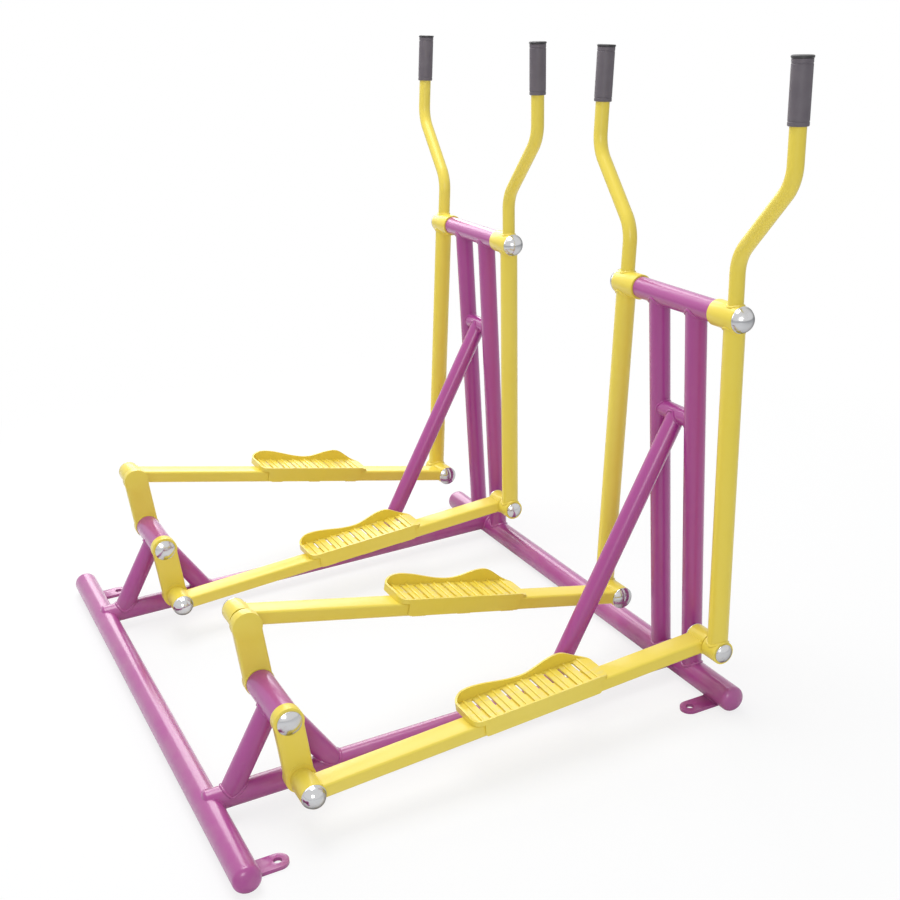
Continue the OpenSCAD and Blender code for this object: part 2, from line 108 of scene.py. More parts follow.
def combined(group, operation, first, second):
    """Two values put together by a sum, a product and so on."""
    node = node_after(group, "ShaderNodeMath", operation=operation)
    feed(group, first, node.inputs[0])
    feed(group, second, node.inputs[1])
    return node.outputs[0]


def mix_shaders(tree, share, first, second, target):
    """Mix two shaders by a share, and give the mix to an output."""
    mix = node_after(tree, "ShaderNodeMixShader")
    for value, socket in zip((share, first, second), mix.inputs):
        tree.links.new(value, socket)
    tree.links.new(mix.outputs[0], target)


floor_size = 160.0
white_from, white_to = 0.9, 2.6
least_white = 0.78
paper_color, paper_roughness = (0.82, 0.82, 0.82), 0.9
surround_color, surround_strength = (0.93, 0.96, 1.0, 1), 0.51
lamps_aim = Vector((0, 0, 0.4))
bpy.ops.mesh.primitive_plane_add(size=floor_size, location=(0, 0, 0))
floor = bpy.context.object
floor.name = "studio_floor"
floor_paint, floor_shader = new_material("floor_paper", paper_color, 0.0, paper_roughness)
tree = floor_paint.node_tree
place_on_floor = node_after(tree, "ShaderNodeTexCoord")
from_middle = node_after(tree, "ShaderNodeVectorMath", operation="LENGTH")
whiteness = node_after(tree, "ShaderNodeMapRange")
for socket_name, value in (
    ("From Min", white_from), ("From Max", white_to), ("To Min", least_white),
):
    whiteness.inputs[socket_name].default_value = value
tree.links.new(place_on_floor.outputs["Object"], from_middle.inputs[0])
tree.links.new(from_middle.outputs["Value"], whiteness.inputs["Value"])
rays = node_after(tree, "ShaderNodeLightPath").outputs
white_share = combined(tree, "MULTIPLY", whiteness.outputs[0], rays["Is Camera Ray"])
glow = node_after(tree, "ShaderNodeEmission")
mix_shaders(tree, white_share, floor_shader.outputs[0], glow.outputs[0],
            tree.nodes["Material Output"].inputs["Surface"])
floor.data.materials.append(floor_paint)

surround = bpy.data.worlds.new("white_surround")
bpy.context.scene.world = surround
surround.use_nodes = True
tree = surround.node_tree
room = tree.nodes["Background"]
room.inputs["Color"].default_value = surround_color
room.inputs["Strength"].default_value = surround_strength
white_wall = node_after(tree, "ShaderNodeBackground")
white_wall.inputs["Color"].default_value = (1, 1, 1, 1)
rays = node_after(tree, "ShaderNodeLightPath").outputs
white_rays = combined(tree, "MAXIMUM", rays["Is Camera Ray"], rays["Is Glossy Ray"])
white_rays = combined(tree, "MAXIMUM", white_rays, rays["Is Transmission Ray"])
mix_shaders(tree, white_rays, room.outputs[0], white_wall.outputs[0],
            tree.nodes["World Output"].inputs["Surface"])

for lamp_name, spot, width, power in (
    ("overhead_lamp", (-0.8, -0.2, 4.2), 2.5, 114),
    ("side_lamp", (4.2, -1.8, 2.4), 1.6, 45),
    ("far_lamp", (-4.1, 0.9, 2.7), 3.0, 92),
):
    bpy.ops.object.light_add(type="AREA", location=spot)
    lamp = bpy.context.object
    lamp.name = lamp_name
    lamp.data.size = width
    lamp.data.energy = power
    lamp.rotation_mode = "QUATERNION"
    lamp.rotation_quaternion = (lamps_aim - Vector(spot)).to_track_quat("-Z", "Y")


# The steel is powder coated in two colours: a red purple on what stands still, a warm yellow on
# what moves. The coat is glossy, with a faint orange peel, paler clouds and dust near the ground.
def finish_group(name, inputs):
    """An empty node group for a surface: its named inputs, and colour, roughness and normal out."""
    group = bpy.data.node_groups.new(name, "ShaderNodeTree")
    for socket_name, value in inputs.items():
        kind = "NodeSocketColor" if isinstance(value, tuple) else "NodeSocketFloat"
        socket = group.interface.new_socket(socket_name, in_out="INPUT", socket_type=kind)
        socket.default_value = value
    for socket_name, kind in (("Color", "NodeSocketColor"), ("Roughness", "NodeSocketFloat"),
                              ("Normal", "NodeSocketVector")):
        group.interface.new_socket(socket_name, in_out="OUTPUT", socket_type=kind)
    start = node_after(group, "NodeGroupInput")
    end = node_after(group, "NodeGroupOutput")
    place = node_after(group, "ShaderNodeTexCoord")
    return group, start.outputs, end.inputs, place.outputs


def noise(group, place, scale, detail):
    """Soft random clouds over the surface."""
    node = node_after(group, "ShaderNodeTexNoise")
    node.inputs["Scale"].default_value = scale
    node.inputs["Detail"].default_value = detail
    group.links.new(place, node.inputs["Vector"])
    return node.outputs["Fac"]


def stretched(group, place, scale):
    """Object coordinates that are stretched along their axes."""
    node = node_after(group, "ShaderNodeMapping")
    node.inputs["Scale"].default_value = scale
    group.links.new(place, node.inputs["Vector"])
    return node.outputs[0]


def spread(group, value, low, high):
    """A value brought from between two limits to between 0 and 1."""
    node = node_after(group, "ShaderNodeMapRange")
    node.inputs["From Min"].default_value = low
    node.inputs["From Max"].default_value = high
    group.links.new(value, node.inputs["Value"])
    return node.outputs[0]


def patches(group, place, pattern):
    """Random clouds of a pattern's scale and detail, cut off at its two limits, between 0 and 1."""
    scale, detail, low, high = pattern
    return spread(group, noise(group, place, scale, detail), low, high)


def tinted(group, share, first, second):
    """Two colours mixed by a share."""
    node = node_after(group, "ShaderNodeMix", data_type="RGBA")
    group.links.new(share, node.inputs["Factor"])
    feed(group, first, node.inputs[6])
    feed(group, second, node.inputs[7])
    return node.outputs[2]


def embossed(group, height, strength, distance):
    """A normal that follows a height."""
    node = node_after(group, "ShaderNodeBump")
    node.inputs["Distance"].default_value = distance
    group.links.new(strength, node.inputs["Strength"])
    group.links.new(height, node.inputs["Height"])
    return node.outputs["Normal"]


def surface_finish(name, group, color, metallic, roughness, values):
    """A material whose colour, roughness and normal come from a finish group."""
    material, shader = new_material(name, color, metallic, roughness)
    tree = material.node_tree
    finish = node_after(tree, "ShaderNodeGroup", node_tree=group)
    for socket_name, value in {"Color": color, "Roughness": roughness, **values}.items():
        full_value = (*value, 1) if isinstance(value, tuple) else value
        finish.inputs[socket_name].default_value = full_value
    for output, target in (
        ("Color", "Base Color"), ("Roughness", "Roughness"), ("Normal", "Normal"),
    ):
        tree.links.new(finish.outputs[output], shader.inputs[target])
    return material, shader


coat, given, result, place = finish_group("powder_coat", {
    "Color": (0.5, 0.5, 0.5, 1), "Faded Color": (0.6, 0.6, 0.6, 1), "Fade": 0.35, "Roughness": 0.3,
    "Peel Depth": 0.25, "Scuffs": 0.0, "Dust": 0.2,
})
scuff_color, dust_color = (0.60, 0.53, 0.40, 1), (0.50, 0.44, 0.37, 1)
cloud_pattern, mottle_pattern, mottle_share = (2.6, 2.0, 0.30, 0.75), (42.0, 2.0, 0.30, 0.70), 0.06
clouds = patches(coat, place["Object"], cloud_pattern)
mottle = patches(coat, place["Object"], mottle_pattern)
fade = combined(coat, "MULTIPLY", clouds, given["Fade"])
speckle = combined(coat, "MULTIPLY", mottle, mottle_share)
fade = combined(coat, "ADD", fade, speckle)
paint = tinted(coat, fade, given["Color"], given["Faded Color"])

scuff_pattern, shoe_travel = (95.0, 5.0, 0.50, 0.72), (1.0, 0.25, 1.0)
trodden_from, trodden_to = 0.75, 0.95
turn = node_after(coat, "ShaderNodeSeparateXYZ")
coat.links.new(place["Normal"], turn.inputs[0])
trodden = spread(coat, turn.outputs["Z"], trodden_from, trodden_to)
lengthwise = stretched(coat, place["Object"], shoe_travel)
scuff = patches(coat, lengthwise, scuff_pattern)
scuff = combined(coat, "MULTIPLY", scuff, trodden)
scuff = combined(coat, "MULTIPLY", scuff, given["Scuffs"])
paint = tinted(coat, scuff, paint, scuff_color)

dust_reach, drift_pattern = 0.13, (17.0, 5.0, 0.35, 0.70)
height = node_after(coat, "ShaderNodeSeparateXYZ")
coat.links.new(place["Object"], height.inputs[0])
low_down = spread(coat, height.outputs["Z"], dust_reach, 0.0)
drift = patches(coat, place["Object"], drift_pattern)
dust = combined(coat, "MULTIPLY", low_down, drift)
dust = combined(coat, "MULTIPLY", dust, given["Dust"])
paint = tinted(coat, dust, paint, dust_color)

dust_dulls, scuff_dulls = 0.5, 0.35
rough = given["Roughness"]
for cover, share in ((mottle, mottle_share), (dust, dust_dulls), (scuff, scuff_dulls)):
    duller = combined(coat, "MULTIPLY", cover, share)
    rough = combined(coat, "ADD", rough, duller)

peel_scale, wave_scale, peel_detail, peel_height = 190.0, 60.0, 1.0, 0.0003
wave_share, scuff_share = 0.8, 0.5
peel = noise(coat, place["Object"], peel_scale, peel_detail)
waves = noise(coat, place["Object"], wave_scale, peel_detail)
waves = combined(coat, "MULTIPLY", waves, wave_share)
worn_off = combined(coat, "MULTIPLY", scuff, scuff_share)
relief = combined(coat, "ADD", peel, waves)
relief = combined(coat, "SUBTRACT", relief, worn_off)
relief = embossed(coat, relief, given["Peel Depth"], peel_height)
coat.links.new(paint, result["Color"])
coat.links.new(rough, result["Roughness"])
coat.links.new(relief, result["Normal"])

paint_roughness, paint_specular, coat_roughness, peel_depth = 0.36, 0.35, 0.22, 0.4


def painted_steel(name, color, faded, dust, gloss, scuffs=0.0):
    """Powder-coated steel in one colour, under a clear glossy top."""
    material, shader = surface_finish(name, coat, color, 0.0, paint_roughness, {
        "Faded Color": faded, "Peel Depth": peel_depth, "Scuffs": scuffs, "Dust": dust,
    })
    shader.inputs["Specular IOR Level"].default_value = paint_specular
    shader.inputs["Coat Weight"].default_value = gloss
    shader.inputs["Coat Roughness"].default_value = coat_roughness
    return material


purple, faded_purple = (0.36, 0.036, 0.240), (0.42, 0.075, 0.300)
yellow, faded_yellow = (0.81, 0.633, 0.061), (0.83, 0.69, 0.15)
purple_dust, purple_gloss, yellow_dust, yellow_gloss = 0.2, 0.9, 0.15, 0.35
purple_paint = painted_steel("purple_powder_coat", purple, faded_purple, purple_dust, purple_gloss)
yellow_paint = painted_steel("yellow_powder_coat", yellow, faded_yellow, yellow_dust, yellow_gloss)


# Two cross tubes lie on the ground and carry everything. Each end is closed by a domed steel plug,
# which is welded in and ground smooth, so that no sharp tube end is left in the open.
plug_edge, dome_sides, last_angle = 0.002, 72, 86
aligned, smooth_angle = 0.9, 32


def repaint(node, material):
    """Give a CAD node one material all over."""
    mesh = frame["nodes"][node].data
    mesh.materials.clear()
    mesh.materials.append(material)


def select_faces(piece, wanted):
    """Enter edit mode with only the faces selected that the test wants."""
    bpy.ops.object.mode_set(mode="EDIT")
    bpy.ops.mesh.select_mode(type="FACE")
    bpy.ops.mesh.select_all(action="DESELECT")
    bpy.ops.object.mode_set(mode="OBJECT")
    for face in piece.data.polygons:
        face.select = wanted(face)
    bpy.ops.object.mode_set(mode="EDIT")


def extrude_by(step):
    """Extrude what is selected along a step."""
    bpy.ops.mesh.extrude_region_move(TRANSFORM_OT_translate={"value": step})


def placed_copy(master, matrix):
    """A copy of a modelled shape at another place, with its own mesh."""
    piece = master.copy()
    piece.data = master.data.copy()
    bpy.context.scene.collection.objects.link(piece)
    piece.data.transform(matrix)
    if matrix.determinant() < 0:
        piece.data.flip_normals()
    return piece


def one_piece(name, shapes):
    """Join shapes into one named object, smooth but for its sharp edges."""
    bpy.ops.object.select_all(action="DESELECT")
    for shape in shapes:
        shape.select_set(True)
    bpy.context.view_layer.objects.active = shapes[0]
    if len(shapes) > 1:
        bpy.ops.object.join()
    piece = bpy.context.object
    piece.name = name
    piece.data.name = name
    bpy.ops.object.shade_smooth_by_angle(angle=math.radians(smooth_angle))
    bpy.ops.object.select_all(action="DESELECT")
    return piece


def finish_piece(name, shapes, material, slot, body, *nodes):
    """Join and paint a piece, let it ride on its body and stand for its CAD nodes."""
    piece = one_piece(name, shapes)
    piece.data.materials.clear()
    piece.data.materials.append(material)
    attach(piece, body)
    if nodes:
        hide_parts(*nodes)


def turned(profile, sides=64):
    """A closed turned shape along Z, from (height, radius) pairs that rise from below."""
    (z0, r0), (z1, r1) = profile[:2]
    bpy.ops.mesh.primitive_cylinder_add(vertices=sides, radius=r0, depth=z1 - z0,
                                        location=(0, 0, (z0 + z1) / 2))
    piece = bpy.context.object
    bpy.ops.object.transform_apply(location=True)
    select_faces(piece, lambda face: face.normal.z > aligned)
    bpy.ops.transform.resize(value=(r1 / r0, r1 / r0, 1), center_override=(0, 0, z1))
    last_z, last_r = z1, r1
    for z, r in profile[2:]:
        extrude_by((0, 0, z - last_z))
        bpy.ops.transform.resize(value=(r / last_r, r / last_r, 1), center_override=(0, 0, z))
        last_z, last_r = z, r
    bpy.ops.object.mode_set(mode="OBJECT")
    return piece


def dome(radius, height, edge, steps=9):
    """A dome over a short straight edge, standing on z = 0 with its top towards +Z."""
    profile = [(0, radius), (edge, radius)]
    for step in range(1, steps + 1):
        angle = math.radians(last_angle * step / steps)
        profile.append((edge + (height - edge) * math.sin(angle), radius * math.cos(angle)))
    return turned(profile, dome_sides)


def facing(axis_sign):
    """A turn that lays +Z along +X or -X."""
    return Matrix.Rotation(axis_sign * math.pi / 2, 4, "Y")


def half_height(node):
    """Half the height of a node's box, which is a lying tube's radius."""
    low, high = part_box(node)
    return (high.z - low.z) / 2


plugs = []
plug_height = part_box("tube_end_caps")[1].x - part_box("rear_cross_tube")[1].x
for node in ("rear_cross_tube", "front_cross_tube"):
    repaint(node, purple_paint)
    low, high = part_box(node)
    cross_radius = half_height(node)
    middle = (low + high) / 2
    plug = dome(cross_radius, plug_height, plug_edge)
    for sign, end_x in ((-1, low.x), (1, high.x)):
        plug_at = Matrix.Translation((end_x, middle.y, middle.z))
        plugs.append(placed_copy(plug, plug_at @ facing(sign)))
    bpy.data.objects.remove(plug)
finish_piece("domed_tube_plugs", plugs, purple_paint, "purple_paint", "frame", "tube_end_caps")

# Four flat steel tabs are welded to the inner sides of the cross tubes, close to the ground.
# Each has one hole for an anchor bolt, and its edges are ground round.
plate_rounding, merge_gap, flat_angle = 0.0012, 0.00001, math.radians(1)


def edit_all():
    """Enter edit mode with everything selected."""
    bpy.ops.object.mode_set(mode="EDIT")
    bpy.ops.mesh.select_all(action="SELECT")


def apply_modifier(piece, kind, **settings):
    """Add one modifier to the active piece, set it and apply it."""
    bpy.context.view_layer.objects.active = piece
    modifier = piece.modifiers.new(kind.lower(), kind)
    for key, value in settings.items():
        setattr(modifier, key, value)
    bpy.ops.object.modifier_apply(modifier=modifier.name)


def round_edges(piece, width, segments=3, angle=40):
    """Round the edges that are sharper than an angle, on both the outer and the inner corners."""
    apply_modifier(piece, "BEVEL", width=width, segments=segments, limit_method="ANGLE",
                   angle_limit=math.radians(angle), harden_normals=False, use_clamp_overlap=True)


tabs = placed_copy(frame["nodes"]["anchor_ears"], Matrix.Identity(4))
tabs.parent = None
bpy.context.view_layer.objects.active = tabs
tabs.select_set(True)
edit_all()
bpy.ops.mesh.remove_doubles(threshold=merge_gap)
bpy.ops.mesh.dissolve_limited(angle_limit=flat_angle)
bpy.ops.object.mode_set(mode="OBJECT")
round_edges(tabs, plate_rounding)
finish_piece("anchor_tabs", [tabs], purple_paint, "purple_paint", "frame", "anchor_ears")

# The base beams, legs, posts, braces and crank housings are round steel tubes, coped to fit each
# other and welded all round by hand, which leaves a rippled bead. The ends of the base beams stand
# a little above the cross tubes, where domed plugs close them and are ground smooth.
STATIONS = ("st1", "st2")
bead_radius, ripple_pitch, ripple_share = 0.0034, 0.0045, 0.13
light_bead, lever_bead = 0.8 * bead_radius, 0.9 * bead_radius
beam_plug_height, beam_plug_edge, bead_sunk = 0.013, 0.001, 0.010
post_radius, leg_radius, brace_radius, crossbar_radius = 0.024, 0.024, 0.022, 0.020
rear_leg_back, front_leg_ahead = 0.118, 0.122
post_gap_top, post_gap_foot = 0.138, 0.126
brace_foot_back, crossbar_z = 0.369, 0.663
across, ahead = (1, 0, 0), (0, 1, 0)


def saddle_points(inside, outside, radius, trunk, trunk_along, trunk_radius, count, sunk=0.0):
    """Points round a branch tube where it leaves a trunk, or sunk into it where it passes by."""
    inside, outside, trunk = Vector(inside), Vector(outside), Vector(trunk)
    along = (outside - inside).normalized()
    trunk_along = Vector(trunk_along).normalized()
    side = along.orthogonal().normalized()
    other = along.cross(side)
    flat_along = along - trunk_along * along.dot(trunk_along)
    points = []
    for step in range(count):
        angle = 2 * math.pi * step / count
        outward = math.cos(angle) * side + math.sin(angle) * other
        start = inside + radius * outward
        gap = start - trunk
        gap = gap - trunk_along * gap.dot(trunk_along)
        a = flat_along.length_squared
        b = 2 * gap.dot(flat_along)
        c = gap.length_squared - trunk_radius ** 2
        under_root = b * b - 4 * a * c
        if under_root > 0:
            points.append(start + along * (-b + math.sqrt(under_root)) / (2 * a))
        else:
            points.append(start - along * b / (2 * a) - outward * sunk)
    return points


def weld_bead(points, closed=True, radius=bead_radius):
    """A rippled bead of weld metal along a line of points."""
    curve = bpy.data.curves.new("bead", "CURVE")
    curve.dimensions = "3D"
    curve.bevel_depth = radius
    curve.bevel_resolution = 3
    curve.use_fill_caps = True
    spline = curve.splines.new("POLY")
    spline.points.add(len(points) - 1)
    for number, (point, place) in enumerate(zip(spline.points, points)):
        point.co = (*place, 1)
        point.radius = 1.0 + ripple_share * math.cos(number * math.pi)
    spline.use_cyclic_u = closed
    bead = bpy.data.objects.new("bead", curve)
    bpy.context.scene.collection.objects.link(bead)
    bpy.ops.object.select_all(action="DESELECT")
    bpy.context.view_layer.objects.active = bead
    bead.select_set(True)
    bpy.ops.object.convert(target="MESH")
    return bpy.context.object


def saddle_bead(inside, outside, radius, trunk, trunk_along, trunk_radius, bead=bead_radius,
                sunk=0.0):
    """A bead round the seam between two round tubes."""
    count = 2 * round(math.pi * radius / ripple_pitch)
    points = saddle_points(inside, outside, radius, trunk, trunk_along, trunk_radius, count, sunk)
    return weld_bead(points, radius=bead)


def middle_of(node):
    """The middle of a node's box."""
    low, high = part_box(node)
    return (low + high) / 2


for node in ("base_beams", "crank_legs"):
    repaint(node, purple_paint)
for station in STATIONS:
    for part in ("posts", "top_tube", "brace", "crank_housing"):
        repaint(f"{station}_{part}", purple_paint)
joints = {joint["name"]: Vector(joint["pos_m"]) for joint in frame["joints"]}
st1_x = joints["st1_crank_turn"].x
beam_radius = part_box("base_beams")[1].x - st1_x
beam_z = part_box("base_beams")[1].z - beam_radius
rear_tube, front_tube = middle_of("rear_cross_tube"), middle_of("front_cross_tube")
top_radius, housing_radius = half_height("st1_top_tube"), half_height("st1_crank_housing")
beam_plug = dome(beam_radius, beam_plug_height, beam_plug_edge)
for station in STATIONS:
    crank_at = joints[f"{station}_crank_turn"]
    x, crank_y = crank_at.x, crank_at.y
    beads = []
    for tube, sign in ((rear_tube, 1), (front_tube, -1)):
        inside, outside = Vector((x, tube.y, beam_z)), Vector((x, tube.y + sign, beam_z))
        beads.append(saddle_bead(inside, outside, beam_radius, tube, across, cross_radius,
                                 sunk=bead_sunk))
        lying = Matrix.Rotation(sign * math.pi / 2, 4, "X")
        beads.append(placed_copy(beam_plug, Matrix.Translation(inside) @ lying))
    for foot_y in (crank_y - rear_leg_back, crank_y + front_leg_ahead):
        foot = Vector((x, foot_y, beam_z))
        beads.append(saddle_bead(foot, crank_at, leg_radius, foot, ahead, beam_radius))
        beads.append(saddle_bead(crank_at, foot, leg_radius, crank_at, across, housing_radius))
    top = joints[f"{station}_left_lever_swing"]
    for sign in (-1, 1):
        foot = Vector((x + sign * post_gap_foot / 2, top.y, front_tube.z))
        head = Vector((x + sign * post_gap_top / 2, top.y, top.z))
        beads.append(saddle_bead(foot, head, post_radius, foot, across, cross_radius))
        beads.append(saddle_bead(head, foot, post_radius, head, across, top_radius))
        bar_middle = Vector((x, top.y, crossbar_z))
        post_middle = foot.lerp(head, (crossbar_z - foot.z) / (head.z - foot.z))
        beads.append(saddle_bead(post_middle, bar_middle, crossbar_radius, post_middle, head - foot,
                                 post_radius, light_bead))
    brace_foot = Vector((x, top.y - brace_foot_back, beam_z))
    brace_head = Vector((x, top.y, crossbar_z))
    beads.append(saddle_bead(brace_foot, brace_head, brace_radius, brace_foot, ahead, beam_radius))
    beads.append(saddle_bead(brace_head, brace_foot, brace_radius, brace_head, across,
                             crossbar_radius))
    finish_piece(f"{station}_frame_welds", beads, purple_paint, "purple_paint", "frame")
bpy.data.objects.remove(beam_plug)

# One short straight weld holds each anchor tab, along the tab's top edge, where it meets its cross
# tube. It is laid by hand in the same way as the others, and painted over with them.
tab_width, tab_bead, tab_bead_steps = 0.046, 0.0026, 12
rear_hole_gap, front_hole_gap = 1.400, 1.310


def straight_bead(start, end, steps, radius):
    """A bead along a straight seam."""
    start, end = Vector(start), Vector(end)
    points = [start.lerp(end, step / steps) for step in range(steps + 1)]
    return weld_bead(points, closed=False, radius=radius)


tab_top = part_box("anchor_ears")[1].z
tab_welds = []
for tube, sign, hole_gap in ((rear_tube, 1, rear_hole_gap), (front_tube, -1, front_hole_gap)):
    seam_y = tube.y + sign * math.sqrt(cross_radius ** 2 - (cross_radius - tab_top) ** 2)
    for hole_x in (-hole_gap / 2, hole_gap / 2):
        from_x, to_x = hole_x - tab_width / 2, hole_x + tab_width / 2
        tab_welds.append(straight_bead((from_x, seam_y, tab_top), (to_x, seam_y, tab_top),
                                       tab_bead_steps, tab_bead))
finish_piece("anchor_tab_welds", tab_welds, purple_paint, "purple_paint", "frame")

# Each crank has a straight steel arm on both ends of its axle, half a turn apart. The arm is a
# flat bar with rounded edges between two turned bosses. Axle and pins are turned from bare steel.
SIDES = ("left", "right")
OUTWARD = {"left": -1, "right": 1}
metal, given, result, place = finish_group("bare_metal", {
    "Color": (0.6, 0.6, 0.6, 1), "Stain Color": (0.3, 0.25, 0.2, 1), "Stain": 0.3, "Roughness": 0.2,
    "Smudge": 0.2, "Mark Depth": 0.2,
})
stain_pattern, smudge_pattern = (46.0, 6.0, 0.55, 0.78), (24.0, 3.0, 0.40, 0.75)
mark_pattern, marks_round_x, mark_height = (60.0, 3.0, 0.30, 0.70), (28, 1, 1), 0.00025
stain = patches(metal, place["Object"], stain_pattern)
stain = combined(metal, "MULTIPLY", stain, given["Stain"])
smudge = patches(metal, place["Object"], smudge_pattern)
smudge = combined(metal, "MULTIPLY", smudge, given["Smudge"])
dulled = combined(metal, "ADD", smudge, stain)
dulled = combined(metal, "ADD", dulled, given["Roughness"])
marks = stretched(metal, place["Object"], marks_round_x)
marks = patches(metal, marks, mark_pattern)
marks = embossed(metal, marks, given["Mark Depth"], mark_height)
stained = tinted(metal, stain, given["Color"], given["Stain Color"])
metal.links.new(stained, result["Color"])
metal.links.new(dulled, result["Roughness"])
metal.links.new(marks, result["Normal"])

steel, _ = surface_finish("turned_steel", metal, (0.42, 0.41, 0.40), 1.0, 0.32, {
    "Stain Color": (0.20, 0.13, 0.08), "Stain": 0.35, "Smudge": 0.2, "Mark Depth": 0.35,
})


def select_edges(piece, along, shortest=0.0):
    """Enter edit mode with only the longer edges selected that run along one axis."""
    bpy.ops.object.mode_set(mode="EDIT")
    bpy.ops.mesh.select_mode(type="EDGE")
    bpy.ops.mesh.select_all(action="DESELECT")
    bpy.ops.object.mode_set(mode="OBJECT")
    points = piece.data.vertices
    for edge in piece.data.edges:
        run = points[edge.vertices[1]].co - points[edge.vertices[0]].co
        edge.select = run.length > shortest and abs(run[along]) > aligned * run.length
    bpy.ops.object.mode_set(mode="EDIT")


def rod(start, end, radius, sides=64):
    """A closed round bar between two points."""
    start, end = Vector(start), Vector(end)
    bpy.ops.mesh.primitive_cylinder_add(vertices=sides, radius=radius, depth=(end - start).length)
    piece = bpy.context.object
    turn = (end - start).to_track_quat("Z", "Y").to_matrix().to_4x4()
    piece.data.transform(Matrix.Translation((start + end) / 2) @ turn)
    return piece


def block(low, high, radius, segments=4, along=1):
    """A box between two corners, whose edges along one axis are rounded."""
    low, high = Vector(low), Vector(high)
    bpy.ops.mesh.primitive_cube_add(size=1)
    piece = bpy.context.object
    piece.data.transform(Matrix.Translation((low + high) / 2) @ Matrix.Diagonal((*(high - low), 1)))
    select_edges(piece, along)
    bpy.ops.mesh.bevel(offset=radius, segments=segments)
    bpy.ops.object.mode_set(mode="OBJECT")
    return piece


def combine(piece, other, operation="UNION"):
    """Weld another closed shape to a piece, or cut it out."""
    apply_modifier(piece, "BOOLEAN", object=other, operation=operation, solver="EXACT")
    bpy.data.objects.remove(other)
    return piece


def mirrored(side):
    """The mirroring that makes a right piece into one for a side."""
    return Matrix.Diagonal((OUTWARD[side], 1, 1, 1))


boss_radius, arm_thick, arm_step, arm_corner = 0.033, 0.024, 0.0015, 0.005
crank_radius = (joints["st1_left_bar_turn"] - joints["st1_crank_turn"]).length
arm_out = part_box("st1_crank_arms")[1].x - st1_x
arm_in = arm_out - arm_thick
flat_low = (arm_in + arm_step, -boss_radius + arm_step, 0)
flat_high = (arm_out - arm_step, boss_radius - arm_step, crank_radius)
arm = block(flat_low, flat_high, arm_corner, along=2)
for boss_z in (0, crank_radius):
    combine(arm, rod((arm_in, 0, boss_z), (arm_out, 0, boss_z), boss_radius))
round_edges(arm, plate_rounding)
for station in STATIONS:
    crank_at = joints[f"{station}_crank_turn"]
    arms = []
    for side in SIDES:
        reach = joints[f"{station}_{side}_bar_turn"] - crank_at
        lean = math.atan2(-reach.y, reach.z)
        leaning = Matrix.Rotation(lean, 4, "X") @ mirrored(side)
        arms.append(placed_copy(arm, Matrix.Translation(crank_at) @ leaning))
    finish_piece(f"{station}_welded_crank_arms", arms, yellow_paint, "yellow_paint",
                 f"{station}_crank", f"{station}_crank_arms")
    for part in ("crank_axle", "crank_pins"):
        repaint(f"{station}_{part}", steel)
bpy.data.objects.remove(arm)

# A ring of near-black rubber closes the space between each crank arm and the eye of its pedal bar.
# Its black is painted shade, for the shadow in that gap. On the right cranks a painted steel collar
# takes up most of that space. Both turn with the crank.
rubber, given, result, place = finish_group("moulded_rubber", {
    "Color": (0.05, 0.05, 0.05, 1), "Bloom Color": (0.12, 0.12, 0.12, 1), "Bloom": 0.4,
    "Roughness": 0.5, "Grain Depth": 0.4,
})
bloom_pattern, bloom_dulls = (31.0, 4.0, 0.35, 0.70), 0.25
grain_scale, grain_detail, grain_height = 950.0, 2.0, 0.0004
bloom = patches(rubber, place["Object"], bloom_pattern)
bloom = combined(rubber, "MULTIPLY", bloom, given["Bloom"])
bloomed = tinted(rubber, bloom, given["Color"], given["Bloom Color"])
rough = combined(rubber, "MULTIPLY", bloom, bloom_dulls)
rough = combined(rubber, "ADD", rough, given["Roughness"])
grain = noise(rubber, place["Object"], grain_scale, grain_detail)
grain = embossed(rubber, grain, given["Grain Depth"], grain_height)
rubber.links.new(bloomed, result["Color"])
rubber.links.new(rough, result["Roughness"])
rubber.links.new(grain, result["Normal"])

# The seal rubber's near-black colour is painted shade for the shadowed gap between arm and eye.
painted_shade_seal_rubber, _ = surface_finish("painted_shade_seal_rubber", rubber, (0.020, 0.018, 0.017), 0.0, 0.5, {
    "Bloom Color": (0.05, 0.045, 0.04), "Bloom": 0.5, "Grain Depth": 0.3,
})
bar_in, bar_out = (corner.x - st1_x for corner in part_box("st1_right_pedal_bar"))
seal_gap, seal_start, collar_start = 0.0012, 0.0002, 0.0001
seal_radius, seal_bore, seal_rounding = 0.0235, 0.0165, 0.0006
groove_depth, groove_width = 0.0015, 0.0018
groove_shares = {"left": (0.3, 0.6), "right": ()}
collar_radius, collar_rounding = 0.0245, 0.001
collar_share = {"left": 0.0, "right": 0.78}
cut_past = 0.01


def drilled(piece, from_x, to_x, z, radius):
    """Drill a hole along X through a piece, from one of its sides to the other."""
    drill = rod((from_x - cut_past, 0, z), (to_x + cut_past, 0, z), radius)
    return combine(piece, drill, "DIFFERENCE")


def pin_ring(ring_in, ring_out, radius):
    """A ring round the crank pin, between two distances from the station's middle."""
    return drilled(rod((ring_in, 0, 0), (ring_out, 0, 0), radius), ring_in, ring_out, 0, seal_bore)


for side in SIDES:
    collar_end = arm_out + collar_share[side] * (bar_in - arm_out)
    seal = pin_ring(collar_end + seal_start, bar_in - seal_gap, seal_radius)
    for groove_share in groove_shares[side]:
        groove_x = collar_end + groove_share * (bar_in - collar_end)
        groove = rod((groove_x, 0, 0), (groove_x + groove_width, 0, 0), seal_radius + cut_past)
        hoop = drilled(groove, groove_x, groove_x, 0, seal_radius - groove_depth)
        combine(seal, hoop, "DIFFERENCE")
    round_edges(seal, seal_rounding, segments=2)
    for station in STATIONS:
        place = Matrix.Translation(joints[f"{station}_{side}_bar_turn"]) @ mirrored(side)
        finish_piece(f"{station}_{side}_pin_shade_seal", [placed_copy(seal, place)], painted_shade_seal_rubber,
                     "grip_rubber", f"{station}_crank")
    bpy.data.objects.remove(seal)
collar_end = arm_out + collar_share["right"] * (bar_in - arm_out)
collar = pin_ring(arm_out + collar_start, collar_end, collar_radius)
round_edges(collar, collar_rounding)
